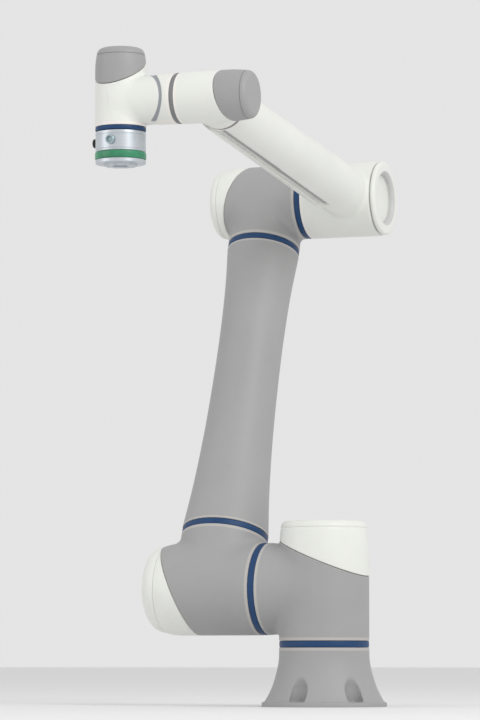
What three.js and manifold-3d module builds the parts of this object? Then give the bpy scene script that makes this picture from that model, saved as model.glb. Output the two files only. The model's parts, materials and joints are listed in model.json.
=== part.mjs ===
// Collaborative robot arm, five axes, palletising size. Millimetres, +Z up.
// Origin: centre of the base's bottom face. The arm reaches forward along -Y, and its links
// are stacked sideways along -X. A distance measured along -X from the base axis is called "side".
import * as THREE from 'three';
import { mergeVertices } from 'three/addons/utils/BufferGeometryUtils.js';
import Module from 'manifold-3d';

const wasm = await Module();
wasm.setup();

// ---------------------------------------------------------------- driving dimensions
const GAP = 0.3;                 // clearance between pieces that touch
const UPPER_ARM = 870;           // shoulder axis to elbow axis
const FOREARM = 830;             // elbow axis to wrist axis
const LEAN = 20;                 // degrees the upper arm leans back from the vertical
const RISE = 7;                  // degrees the forearm rises from the horizontal
const SHOULDER_HEIGHT = 235;     // shoulder axis above the base's bottom face

const SIDE = { shoulderSeam: 123, upperArm: 228, elbowSeam: 140, forearm: 38, wristSeam: 98, head: 220 };
const HEAD_SEAM_BELOW = 54;      // wrist axis down to the tool joint's seam

const BASE = {
  flangeRadius: 125, flangeThickness: 9, seamHeight: 124, boreRadius: 78, floor: 14, endWall: 12,
  boltCircle: 110, boltHole: 6.5, scallop: 15, scallopFloor: 10, scallopTop: 70, bolts: 6, boltStart: 22,
};
const PANEL = { halfWidth: 38, back: 84, thickness: 5, bottom: 18, top: 72, socketRadius: 13, socketDepth: 14 };

// One entry per powered joint. u runs along the joint axis from the seam to the end cap.
// parting: u of the slanted line between housing and cap, on the axis; slope: its rise per mm;
// longSide: degrees round the axis, from the branch, of the side where the cap is longest.
const JOINT = {
  joint1: {
    radius: 90, wall: 9, halfSeam: 7, capEnd: 247, capRadius: 86, edge: 13, parting: 172,
    branchAt: SHOULDER_HEIGHT - BASE.seamHeight, slope: 0.42, longSide: 180, scale: 1, cableHole: 27,
  },
  joint2: {
    radius: 93, wall: 9, halfSeam: 7, capEnd: 248, capRadius: 88, edge: 34, parting: 183,
    branchAt: SIDE.upperArm - SIDE.shoulderSeam, slope: 0.44, longSide: 173, scale: 0.98, cableHole: 27,
  },
  joint3: {
    radius: 78, wall: 8, halfSeam: 6.5, capEnd: 203, capRadius: 72, edge: 18, parting: 141,
    branchAt: SIDE.upperArm - SIDE.elbowSeam, slope: 0.35, longSide: 206, scale: 0.85, cableHole: 22,
  },
  joint4: {
    radius: 49, wall: 6, halfSeam: 4.5, capEnd: 151, capRadius: 46, edge: 11, parting: 98,
    branchAt: SIDE.wristSeam - SIDE.forearm, slope: 0.3, longSide: 148, scale: 0.58, cableHole: 14,
  },
  joint5: {
    radius: 49, wall: 6, halfSeam: 4.5, capEnd: 158, capRadius: 46, edge: 13, parting: 112,
    branchAt: HEAD_SEAM_BELOW, slope: 0.6, longSide: 258, scale: 0.6, cableHole: 14, bearingApart: false,
  },
};
const TUBE_RING = { lowerAt: 115, upperFromElbow: 110, halfWidth: 6.5, depth: 11 };
const FOREARM_RING = { fromWrist: 66, halfWidth: 4.5, depth: 8 };
// The side branch of each module, from its axis out to the seam or ring that it meets.
const BRANCH = {
  joint1: { end: SIDE.shoulderSeam - JOINT.joint2.halfSeam, rootRadius: 84, endRadius: 92.5, wall: 9, endWall: 10 },
  joint2: { end: TUBE_RING.lowerAt - TUBE_RING.halfWidth, rootRadius: 86, endRadius: 88, wall: 9 },
  joint3: { end: TUBE_RING.upperFromElbow - TUBE_RING.halfWidth, rootRadius: 72, endRadius: 75, wall: 8 },
  joint4: { end: FOREARM_RING.fromWrist - FOREARM_RING.halfWidth, rootRadius: 46.5, endRadius: 47, wall: 6 },
  joint5: {
    end: SIDE.head - SIDE.wristSeam - JOINT.joint4.halfSeam, rootRadius: 46, endRadius: 48.5, wall: 6, endWall: 6,
  },
};
const UPPER_TUBE = {
  wall: 7,
  // share of the tube's length, outer radius
  outline: [[0, 88], [0.12, 80], [0.3, 72], [0.5, 67.5], [0.72, 66.5], [0.88, 69.5], [1, 75]],
};
// The forearm's root drum, and the rim and recess of the cover on its outer end.
const FOREARM_ROOT = {
  radius: 78, wall: 8, endSide: -31, endBore: 63, rim: 12, rimRadius: 77, coverFoot: 7, recess: 12, recessRadius: 50,
};
const FOREARM_TUBE = { rootRadius: 53, endRadius: 47, wall: 6 };
// The cover strip lies along the tube; its middle is turned from straight down towards the head.
const UNDER_COVER = { start: 160, end: 757, outer: 58.5, halfAngle: 29.5, turnedFromDown: 41.5 };
const FLANGE = {
  radius: 48, bodyTop: -58.5, bodyBottom: -98, ledBottom: -112, faceBottom: -120, bossRadius: 31.5,
  bossHeight: 4, boreRadius: 15.75, boreDepth: 7, boltCircle: 50, boltHole: 2.5, boltDepth: 9, bolts: 7,
};
const TOOL_PLUG = { radius: 9, height: 7, below: 78 };
const CABLE = { radius: 8, sides: 8, steps: 14 };

const ROUND = 24;                // sides of the castings and covers
const INNER = 12;                // sides of the pieces inside the joints

// ---------------------------------------------------------------- colours
const paint = {
  grey: { color: 0xa4a4a4, roughness: 0.42, metalness: 0.05 },
  white: { color: 0xebece6, roughness: 0.35, metalness: 0 },
  blue: { color: 0x1a4678, roughness: 0.45, metalness: 0 },
  darkGrey: { color: 0x6d6f72, roughness: 0.5, metalness: 0 },
  silver: { color: 0xc0c8d4, roughness: 0.35, metalness: 0.8 },
  green: { color: 0x3a8c68, roughness: 0.3, metalness: 0 },
  steel: { color: 0x9aa0a6, roughness: 0.35, metalness: 1 },
  copper: { color: 0xa5633a, roughness: 0.5, metalness: 0.4 },
  black: { color: 0x26282b, roughness: 0.6, metalness: 0 },
};

// ---------------------------------------------------------------- solids
const radians = THREE.MathUtils.degToRad;

function solid(geometry) {
  const plain = new THREE.BufferGeometry();
  plain.setAttribute('position', geometry.getAttribute('position').clone());
  plain.setIndex(geometry.getIndex());
  const merged = mergeVertices(plain, 1e-4);
  return new wasm.Manifold(new wasm.Mesh({
    numProp: 3,
    vertProperties: new Float32Array(merged.getAttribute('position').array),
    triVerts: new Uint32Array(merged.getIndex().array),
  }));
}

function geometryOf(body) {
  const mesh = body.getMesh();
  const geometry = new THREE.BufferGeometry();
  geometry.setAttribute('position', new THREE.BufferAttribute(mesh.vertProperties, 3));
  geometry.setIndex(new THREE.BufferAttribute(mesh.triVerts, 1));
  return geometry;
}

// A solid of revolution about Z from a closed outline of [radius, height] points.
function turned(outline, sides = ROUND) {
  const onAxis = outline[0][0] === 0 && outline[outline.length - 1][0] === 0;
  const closed = onAxis ? outline : [...outline, outline[0]];
  const geometry = new THREE.LatheGeometry(closed.map(([r, z]) => new THREE.Vector2(r, z)), sides);
  geometry.rotateX(Math.PI / 2);
  const body = solid(geometry);
  return body.volume() > 0 ? body : solid(flipped(geometry));
}

function flipped(geometry) {
  const copy = geometry.clone();
  const order = Array.from(copy.getIndex().array);
  for (let i = 0; i < order.length; i += 3) [order[i], order[i + 1]] = [order[i + 1], order[i]];
  copy.setIndex(order);
  return copy;
}

const rod = (radius, low, high, sides = ROUND) => turned([[0, low], [radius, low], [radius, high], [0, high]], sides);
const ring = (inner, outer, low, high, sides = ROUND) => turned(
  [[inner, low], [outer, low], [outer, high], [inner, high]], sides);

function block(size, centre) {
  const geometry = new THREE.BoxGeometry(...size);
  geometry.translate(...centre);
  return solid(geometry);
}

// Moves a solid by a matrix.
function moved(body, matrix) {
  return solid(geometryOf(body).applyMatrix4(matrix));
}

// A matrix whose local Z lies along zAxis and local X near xAxis, at a point.
function frameAt(point, zAxis, xAxis) {
  const z = zAxis.clone().normalize();
  const x = xAxis.clone().addScaledVector(z, -xAxis.dot(z)).normalize();
  const y = new THREE.Vector3().crossVectors(z, x);
  return new THREE.Matrix4().makeBasis(x, y, z).setPosition(point);
}

// An arc of outline points about a centre, from one angle to another in degrees.
function arc(centreR, centreZ, radius, from, to, steps) {
  return Array.from({ length: steps + 1 }, (_, i) => {
    const angle = radians(from + (to - from) * i / steps);
    return [centreR + radius * Math.cos(angle), centreZ + radius * Math.sin(angle)];
  });
}

// ---------------------------------------------------------------- the arm's points and directions
const UP = new THREE.Vector3(0, 0, 1);
const RIGHT = new THREE.Vector3(1, 0, 0);
const LEFT = new THREE.Vector3(-1, 0, 0);
const ALONG_UPPER = new THREE.Vector3(0, Math.sin(radians(LEAN)), Math.cos(radians(LEAN)));
const ALONG_FORE = new THREE.Vector3(0, -Math.cos(radians(RISE)), Math.sin(radians(RISE)));
const shoulderAxis = new THREE.Vector3(0, 0, SHOULDER_HEIGHT);
const elbowAxis = shoulderAxis.clone().addScaledVector(ALONG_UPPER, UPPER_ARM);
const wristAxis = elbowAxis.clone().addScaledVector(ALONG_FORE, FOREARM);
const atSide = (point, side) => point.clone().addScaledVector(LEFT, side);

const place = {
  joint1: frameAt(new THREE.Vector3(0, 0, BASE.seamHeight), UP, LEFT),
  joint2: frameAt(atSide(shoulderAxis, SIDE.shoulderSeam), LEFT, ALONG_UPPER),
  joint3: frameAt(atSide(elbowAxis, SIDE.elbowSeam), LEFT, ALONG_UPPER.clone().negate()),
  joint4: frameAt(atSide(wristAxis, SIDE.wristSeam), RIGHT, ALONG_FORE.clone().negate()),
  joint5: frameAt(atSide(wristAxis, SIDE.head).addScaledVector(UP, -JOINT.joint5.branchAt), UP, RIGHT),
};

// ---------------------------------------------------------------- assembling
const arm = new THREE.Group();
arm.name = 'cobot_arm';

function add(name, body, look, matrix = new THREE.Matrix4()) {
  const mesh = new THREE.Mesh(geometryOf(body), new THREE.MeshStandardMaterial(paint[look]));
  mesh.name = name;
  matrix.decompose(mesh.position, mesh.quaternion, mesh.scale);
  arm.add(mesh);
}

// ---------------------------------------------------------------- joint modules
// The round body of a module, from the seam to the rounded end of its cap.
function moduleOutside({ radius, halfSeam, capEnd, capRadius, edge, parting }) {
  const shoulderU = Math.min(parting, capEnd - edge - 10);
  return turned([
    [0, halfSeam], [radius, halfSeam], [radius, shoulderU],
    ...arc(capRadius - edge, capEnd - edge, edge, 0, 90, 2),
    [0, capEnd],
  ]);
}

function moduleInside({ radius, wall, halfSeam, capEnd, capRadius, edge, parting }) {
  const shoulderU = Math.min(parting, capEnd - edge - 10);
  return turned([
    [0, halfSeam - 20], [radius - wall, halfSeam - 20], [radius - wall, shoulderU - 2],
    [capRadius - wall - 1, capEnd - edge - 1], [capRadius - edge, capEnd - wall], [0, capEnd - wall],
  ]);
}

// The space on the cap's side of the slanted parting, moved along the axis by shift.
function capSpace({ parting, slope, longSide }, shift) {
  const size = 700;
  const space = block([size, size, size], [0, 0, size / 2]);
  const tilt = new THREE.Matrix4().makeRotationZ(radians(longSide))
    .multiply(new THREE.Matrix4().makeTranslation(0, 0, parting + shift))
    .multiply(new THREE.Matrix4().makeRotationY(Math.atan(slope)));
  return moved(space, tilt);
}

// The side branch of a module. It runs from the module's axis along local X.
function branchSolid({ end, rootRadius, endRadius }, branchAt, grow = 0) {
  const stem = turned([[0, 0], [rootRadius + grow, 0], [endRadius + grow, end], [0, end]]);
  const along = frameAt(new THREE.Vector3(0, 0, branchAt), RIGHT, UP);
  return moved(stem, along);
}

function branchBore({ end, rootRadius, endRadius, wall, endWall = 0 }, branchAt, cableHole) {
  const depth = endWall ? end - endWall : end + 1;
  const bore = turned([[0, 0], [rootRadius - wall, 0], [endRadius - wall, depth], [0, depth]]);
  const whole = endWall ? bore.add(rod(cableHole, 0, end + 1, INNER)) : bore;
  return moved(whole, frameAt(new THREE.Vector3(0, 0, branchAt), RIGHT, UP));
}

function addModule(key, housingName, capName, housingLook, capLook) {
  const joint = JOINT[key];
  const branch = BRANCH[key];
  const outside = moduleOutside(joint);
  const inside = moduleInside(joint);
  const housing = outside.add(branchSolid(branch, joint.branchAt))
    .subtract(inside)
    .subtract(branchBore(branch, joint.branchAt, joint.cableHole))
    .subtract(capSpace(joint, -GAP / 2));
  const cap = outside.subtract(inside)
    .intersect(capSpace(joint, GAP / 2))
    .subtract(branchSolid(branch, joint.branchAt, GAP));
  add(housingName, largest(housing), housingLook, place[key]);
  add(capName, largest(cap), capLook, place[key]);
}

// The biggest of the bodies that a cut leaves.
function largest(body) {
  return body.decompose().sort((a, b) => b.volume() - a.volume())[0];
}

// The seal ring, strain-wave gear, bearing, motor and brake of one joint. The smallest joint's
// bearing is built into its gear ring.
function addDrive(key, number, ringLook) {
  const { radius, wall, halfSeam, scale, cableHole, bearingApart = true } = JOINT[key];
  const bore = radius - wall;
  const fit = bore - 0.4;
  const hubLow = GAP - halfSeam;
  const hubHigh = halfSeam + 3 * scale;
  const cupFloor = hubHigh + 2;
  const gearLow = hubHigh + 18 * scale;
  const gearHigh = gearLow + 15 * scale;
  const motorLow = gearHigh + 5 * scale;
  const motorHigh = motorLow + 44 * scale;
  const brakeLow = motorHigh + 4 * scale;
  const brakeHigh = brakeLow + 17 * scale;
  const shaftHigh = brakeHigh + 6 * scale;
  const at = place[key];
  const label = (piece) => `joint${number}_${piece}`;

  add(label('seal_ring'), ring(radius * 0.87, radius, GAP - halfSeam, halfSeam - GAP), ringLook, at);
  add(label('gear_cup'), turned([
    [cableHole, hubLow], [bore * 0.8, hubLow], [bore * 0.8, hubHigh], [bore * 0.66, hubHigh],
    [bore * 0.66, gearHigh], [bore * 0.62, gearHigh], [bore * 0.62, cupFloor], [cableHole, cupFloor],
  ], INNER), 'steel', at);
  if (bearingApart) {
    add(label('output_bearing'), ring(bore * 0.69, fit, hubHigh + 1, gearLow - 1, INNER), 'steel', at);
  }
  add(label('gear_ring'), ring(bore * 0.69, fit, bearingApart ? gearLow : hubHigh + 1, gearHigh, INNER), 'steel', at);
  add(label('motor_rotor'), turned([
    [bore * 0.2, cupFloor + 2], [bore * 0.3, cupFloor + 2], [bore * 0.3, gearLow + 2], [bore * 0.58, gearLow + 2],
    [bore * 0.58, motorHigh], [bore * 0.3, motorHigh], [bore * 0.3, shaftHigh], [bore * 0.2, shaftHigh],
  ], INNER), 'steel', at);
  add(label('motor_stator'), ring(bore * 0.61, fit, motorLow, motorHigh, INNER), 'copper', at);
  add(label('holding_brake'), ring(bore * 0.33, bore * 0.93, brakeLow, brakeHigh, INNER), 'black', at);
}

// ---------------------------------------------------------------- base
function addBase() {
  const b = BASE;
  const top = b.seamHeight - JOINT.joint1.halfSeam;
  const flare = turned([
    [0, 0], [b.flangeRadius, 0], [b.flangeRadius, b.flangeThickness], [119, b.flangeThickness + 3],
    [110, 29], [103, 45], [97, 62], [92, 84], [90, 104], [90, top], [0, top],
  ]);
  const hollow = rod(b.boreRadius, b.floor, top - b.endWall).add(rod(JOINT.joint1.cableHole, b.floor, top + 1, INNER));
  const pocket = block([2 * PANEL.halfWidth, 80, PANEL.top - PANEL.bottom],
    [0, PANEL.back + 40, (PANEL.top + PANEL.bottom) / 2]);
  let body = flare.subtract(hollow).subtract(pocket);
  for (let i = 0; i < b.bolts; i += 1) {
    const turn = new THREE.Matrix4().makeRotationZ(radians(b.boltStart + i * 360 / b.bolts));
    const out = turn.clone().multiply(new THREE.Matrix4().makeTranslation(b.boltCircle, 0, 0));
    const slot = turned([
      [0, b.scallopFloor], [b.scallop, b.scallopFloor], [b.scallop, b.scallopTop - 30], [0, b.scallopTop + 12],
    ], INNER);
    body = body.subtract(moved(slot, out)).subtract(moved(rod(b.boltHole, -1, b.scallopFloor + 1, 8), out));
  }
  add('base_casting', largest(body), 'grey');

  const middle = (PANEL.top + PANEL.bottom) / 2;
  const face = PANEL.back + GAP + PANEL.thickness;
  let panel = block([2 * (PANEL.halfWidth - GAP), PANEL.thickness, PANEL.top - PANEL.bottom - 2 * GAP],
    [0, PANEL.back + GAP + PANEL.thickness / 2, middle]);
  for (const [x, radius] of [[-18, PANEL.socketRadius], [16, PANEL.socketRadius * 0.7]]) {
    const socket = rod(radius, -2, PANEL.socketDepth, INNER).subtract(rod(radius - 3, 3, PANEL.socketDepth + 1, INNER));
    panel = panel.add(moved(socket, frameAt(new THREE.Vector3(x, face, middle), new THREE.Vector3(0, 1, 0), UP)));
  }
  add('base_connector_panel', panel, 'black');
}

// ---------------------------------------------------------------- upper arm
function addUpperArm() {
  const foot = frameAt(atSide(shoulderAxis, SIDE.upperArm), ALONG_UPPER, RIGHT);
  const upperRingAt = UPPER_ARM - TUBE_RING.upperFromElbow;
  const { halfWidth, depth } = TUBE_RING;
  const low = TUBE_RING.lowerAt + halfWidth;
  const high = upperRingAt - halfWidth;
  const { outline, wall } = UPPER_TUBE;
  const outer = outline.map(([share, r]) => [r, low + share * (high - low)]);
  const inner = outer.map(([r, z]) => [r - wall, z]).reverse();
  const ends = [outline[0][1], outline[outline.length - 1][1]];
  add('upper_arm_tube', turned([...outer, ...inner]), 'grey', foot);
  add('lower_tube_ring', ring(ends[0] - depth, ends[0], low - 2 * halfWidth + GAP, low - GAP), 'blue', foot);
  add('upper_tube_ring', ring(ends[1] - depth, ends[1], high + GAP, high + 2 * halfWidth - GAP), 'blue', foot);
  const bow = 12;
  const route = new THREE.CatmullRomCurve3([
    new THREE.Vector3(0, 0, 96), new THREE.Vector3(bow, 0, 300), new THREE.Vector3(-bow, 0, 560),
    new THREE.Vector3(0, 0, UPPER_ARM - 80),
  ]);
  add('upper_arm_cable', cable(route), 'black', foot);
}

function cable(route) {
  const section = new THREE.Shape(Array.from({ length: CABLE.sides }, (_, i) => {
    const angle = 2 * Math.PI * i / CABLE.sides;
    return new THREE.Vector2(CABLE.radius * Math.cos(angle), CABLE.radius * Math.sin(angle));
  }));
  return solid(new THREE.ExtrudeGeometry(section, { steps: CABLE.steps, extrudePath: route }));
}

// ---------------------------------------------------------------- forearm
function addForearm() {
  const root = FOREARM_ROOT;
  const tube = FOREARM_TUBE;
  const joint = JOINT.joint3;
  // Along the root's own axis, from the elbow seam towards +X.
  const seamFace = joint.halfSeam;
  const endFace = SIDE.elbowSeam - root.endSide;
  const acrossAxis = frameAt(atSide(elbowAxis, SIDE.elbowSeam), RIGHT, ALONG_FORE);
  const drumEnd = endFace - root.rim;
  const drum = turned([
    [0, seamFace], [root.radius, seamFace], [root.radius, drumEnd - 3], [root.radius - 3, drumEnd], [0, drumEnd],
  ]);
  const drumBore = rod(root.radius - root.wall, seamFace + 10, drumEnd - 10)
    .add(rod(joint.cableHole, seamFace - 1, drumEnd - 9, INNER))
    .add(rod(root.endBore, drumEnd - 11, drumEnd + 1));
  const tubeAt = SIDE.elbowSeam - SIDE.forearm;
  const ringCentre = FOREARM - FOREARM_RING.fromWrist;
  const tubeEnd = ringCentre - FOREARM_RING.halfWidth;
  const alongTube = frameAt(new THREE.Vector3(0, 0, tubeAt), RIGHT, UP);
  const shaft = moved(turned([[0, 0], [tube.rootRadius, 0], [tube.endRadius, tubeEnd], [0, tubeEnd]]), alongTube);
  const shaftBore = moved(turned([
    [0, 0], [tube.rootRadius - tube.wall, 0], [tube.endRadius - tube.wall, tubeEnd + 1], [0, tubeEnd + 1],
  ]), alongTube);
  add('forearm_casting', drum.add(shaft).subtract(drumBore).subtract(shaftBore), 'white', acrossAxis);

  const footRadius = root.endBore - GAP;
  add('forearm_end_cover', turned([
    [0, drumEnd - root.coverFoot], [footRadius, drumEnd - root.coverFoot], [footRadius, drumEnd + GAP],
    [root.rimRadius, drumEnd + GAP], [root.rimRadius, endFace - 5], [root.rimRadius - 5, endFace],
    [root.recessRadius + 4, endFace], [root.recessRadius, endFace - 4], [root.recessRadius, endFace - root.recess],
    [0, endFace - root.recess],
  ]), 'white', acrossAxis);

  const ringPlace = acrossAxis.clone().multiply(alongTube);
  add('forearm_tube_ring', ring(tube.endRadius - FOREARM_RING.depth, tube.endRadius,
    tubeEnd + GAP, tubeEnd + 2 * FOREARM_RING.halfWidth - GAP), 'darkGrey', ringPlace);

  // The cover strip as a slice of a long ring.
  const under = UNDER_COVER;
  const slope = (tube.rootRadius - tube.endRadius) / tubeEnd;
  const clear = (along) => tube.rootRadius - slope * along + 0.4;
  const strip = turned([
    [clear(under.start), under.start], [under.outer, under.start], [under.outer - 4, under.end],
    [clear(under.end), under.end],
  ]);
  const wedge = new THREE.Shape([new THREE.Vector2(0, 0),
    ...[-1, 0, 1].map((side) => {
      const angle = radians(under.halfAngle) * side;
      return new THREE.Vector2(120 * Math.cos(angle), 120 * Math.sin(angle));
    })]);
  const slice = solid(new THREE.ExtrudeGeometry(wedge, { depth: FOREARM, bevelEnabled: false }));
  const aim = new THREE.Matrix4().makeRotationZ(radians(-90 - under.turnedFromDown));
  add('forearm_under_cover', largest(strip.intersect(moved(slice, aim))), 'white', ringPlace);

  const route = new THREE.CatmullRomCurve3([
    new THREE.Vector3(0, 0, seamFace + 14), new THREE.Vector3(0, 0, tubeAt - 35),
    new THREE.Vector3(40, 0, tubeAt - 4), new THREE.Vector3(140, 0, tubeAt),
    new THREE.Vector3(FOREARM - 75, 0, tubeAt),
  ]);
  add('forearm_cable', cable(route), 'black', acrossAxis);
}

// ---------------------------------------------------------------- tool flange
function addFlange() {
  const f = FLANGE;
  const centre = new THREE.Matrix4().setPosition(atSide(wristAxis, SIDE.head));
  const spigot = f.radius - 12;
  const body = rod(f.radius, f.bodyBottom, f.bodyTop)
    .subtract(rod(f.radius - 9, f.bodyBottom - 1, f.bodyTop - 8))
    .subtract(rod(JOINT.joint5.cableHole, f.bodyBottom, f.bodyTop + 1, INNER));
  add('flange_body', body, 'silver', centre);
  add('led_ring', ring(spigot + GAP, f.radius + 1, f.ledBottom + GAP, f.bodyBottom - GAP), 'green', centre);
  let plate = rod(spigot, f.faceBottom, f.bodyBottom - GAP)
    .add(rod(f.radius, f.faceBottom, f.ledBottom))
    .add(rod(f.bossRadius, f.faceBottom - f.bossHeight, f.faceBottom + 1))
    .subtract(rod(f.boreRadius, f.faceBottom - f.bossHeight - 1, f.faceBottom - f.bossHeight + f.boreDepth));
  for (let i = 0; i < f.bolts; i += 1) {
    const angle = radians(45 * (i + 1));
    const at = new THREE.Matrix4().makeTranslation(
      f.boltCircle / 2 * Math.cos(angle), f.boltCircle / 2 * Math.sin(angle), f.faceBottom - f.bossHeight);
    plate = plate.subtract(moved(rod(f.boltHole, -1, f.boltDepth, 8), at));
  }
  add('tool_flange', plate, 'silver', centre);
  const sides = [['tool_connector_front', new THREE.Vector3(0, -1, 0)], ['tool_connector_side', LEFT]];
  for (const [name, outward] of sides) {
    const start = f.radius + GAP;
    const shell = rod(TOOL_PLUG.radius, start, start + TOOL_PLUG.height, INNER)
      .subtract(rod(TOOL_PLUG.radius - 2, start + 3, start + TOOL_PLUG.height + 1, INNER));
    const at = centre.clone().multiply(
      frameAt(new THREE.Vector3(0, 0, -TOOL_PLUG.below), outward, UP));
    add(name, shell, name.endsWith('front') ? 'silver' : 'black', at);
  }
}

addBase();
addModule('joint1', 'shoulder_housing', 'shoulder_cap', 'grey', 'white');
addModule('joint2', 'upper_arm_foot', 'upper_arm_cap', 'grey', 'white');
addUpperArm();
addModule('joint3', 'elbow_housing', 'elbow_cap', 'grey', 'white');
addForearm();
addModule('joint4', 'wrist_housing', 'wrist_cap', 'white', 'grey');
addModule('joint5', 'head_housing', 'head_cap', 'white', 'grey');
addFlange();
Object.keys(JOINT).forEach((key, index) => addDrive(key, index + 1, key === 'joint4' ? 'darkGrey' : 'blue'));

export default arm;
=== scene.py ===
"""Looks of a five-axis collaborative robot arm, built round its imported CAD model.

Shapes are made in millimetres in the local frame of each joint and scaled to metres when placed.
"""
import json
import math

import bmesh
import bpy
import numpy as np
from mathutils import Matrix, Vector

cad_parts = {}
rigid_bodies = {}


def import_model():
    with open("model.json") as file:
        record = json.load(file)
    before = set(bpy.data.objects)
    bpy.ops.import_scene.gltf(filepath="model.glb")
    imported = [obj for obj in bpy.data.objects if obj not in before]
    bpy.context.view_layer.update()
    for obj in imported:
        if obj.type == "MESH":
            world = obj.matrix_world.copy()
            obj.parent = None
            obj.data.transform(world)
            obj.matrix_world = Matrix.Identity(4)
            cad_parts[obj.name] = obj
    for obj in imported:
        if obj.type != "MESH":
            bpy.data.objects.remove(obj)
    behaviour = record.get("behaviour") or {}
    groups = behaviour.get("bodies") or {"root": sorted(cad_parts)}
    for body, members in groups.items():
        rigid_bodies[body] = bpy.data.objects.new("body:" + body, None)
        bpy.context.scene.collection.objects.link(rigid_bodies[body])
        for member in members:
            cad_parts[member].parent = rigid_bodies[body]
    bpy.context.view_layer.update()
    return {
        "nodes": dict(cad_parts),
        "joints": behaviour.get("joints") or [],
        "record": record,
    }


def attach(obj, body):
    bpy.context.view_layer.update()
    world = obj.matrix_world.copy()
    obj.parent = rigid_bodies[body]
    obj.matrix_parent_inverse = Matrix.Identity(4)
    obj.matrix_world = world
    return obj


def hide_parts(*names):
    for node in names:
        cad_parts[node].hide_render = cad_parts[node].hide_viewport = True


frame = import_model()
MM = 0.001

# ---------------------------------------------------------------- dimensions that several pieces share, mm
ROUND = 128                      # sides of the turned pieces
CHAMFER = 1.5                    # broken edge along a slanted seam
END_CHAMFER = 0.7                # broken edge along a straight seam
LINE = 0.45                      # half of the open line at a joint between pieces
UPPER_SIDE = 228                 # from the base axis, towards -X, to the upper arm's tube
FORE_SIDE = 38                   # the same to the forearm's tube
HEAD_SIDE = 220                  # the same to the head and the tool axis
PLUG_DROP = 78                   # tool connectors below the wrist axis
PANEL_HEIGHT = 45                # middle of the base's connector panel over the mounting face
POWER_SOCKET_X, SIGNAL_SOCKET_X = -18, 16

# ---------------------------------------------------------------- frame points and directions
joint_at = {j["name"]: Vector(j["pos_m"]) for j in frame["joints"]}
RIGHT, LEFT = Vector((1, 0, 0)), Vector((-1, 0, 0))
FRONT = Vector((0, -1, 0))
UP = Vector((0, 0, 1))


def at_side(point, side):
    """The point on a joint's axis that is this far towards -X from the base axis, in mm."""
    return Vector((-side * MM, point.y, point.z))


UPPER_ARM = at_side(joint_at["elbow_pitch"], 0) - at_side(joint_at["shoulder_pitch"], 0)
FOREARM = at_side(joint_at["wrist_pitch"], 0) - at_side(joint_at["elbow_pitch"], 0)
ALONG_UPPER, UPPER_LENGTH = UPPER_ARM.normalized(), UPPER_ARM.length / MM
ALONG_FORE, FORE_LENGTH = FOREARM.normalized(), FOREARM.length / MM
HEAD_AT = at_side(joint_at["wrist_pitch"], HEAD_SIDE)
PLUGS_AT = HEAD_AT - UP * PLUG_DROP * MM


def placed(origin, z_axis, x_axis):
    """Local millimetres to metres in the frame: z along one axis, x near another."""
    z = z_axis.normalized()
    x = (x_axis - z * x_axis.dot(z)).normalized()
    turn = Matrix((x, z.cross(x), z)).transposed().to_4x4()
    return Matrix.Translation(origin) @ turn @ Matrix.Scale(MM, 4)


PLACE = {
    "world": Matrix.Scale(MM, 4),
    "joint1": placed(joint_at["base_swing"], UP, LEFT),
    "joint2": placed(joint_at["shoulder_pitch"], LEFT, ALONG_UPPER),
    "joint3": placed(joint_at["elbow_pitch"], LEFT, -ALONG_UPPER),
    "joint4": placed(joint_at["wrist_pitch"], RIGHT, -ALONG_FORE),
    "joint5": placed(joint_at["tool_spin"], UP, RIGHT),
    "upper": placed(at_side(joint_at["shoulder_pitch"], UPPER_SIDE), ALONG_UPPER, RIGHT),
    "root": placed(joint_at["elbow_pitch"], RIGHT, ALONG_FORE),
    "fore": placed(at_side(joint_at["elbow_pitch"], FORE_SIDE), ALONG_FORE, RIGHT),
    "head": placed(HEAD_AT, UP, RIGHT),
    "plug_front": placed(PLUGS_AT, FRONT, UP),
    "plug_side": placed(PLUGS_AT, LEFT, UP),
    "power_socket": placed(Vector((POWER_SOCKET_X, 0, PANEL_HEIGHT)) * MM, -FRONT, UP),
    "signal_socket": placed(Vector((SIGNAL_SOCKET_X, 0, PANEL_HEIGHT)) * MM, -FRONT, UP),
}

# ---------------------------------------------------------------- materials
SLOTS = {s["node"]: s["material_slot"] for s in frame["record"]["subparts"]}


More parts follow.
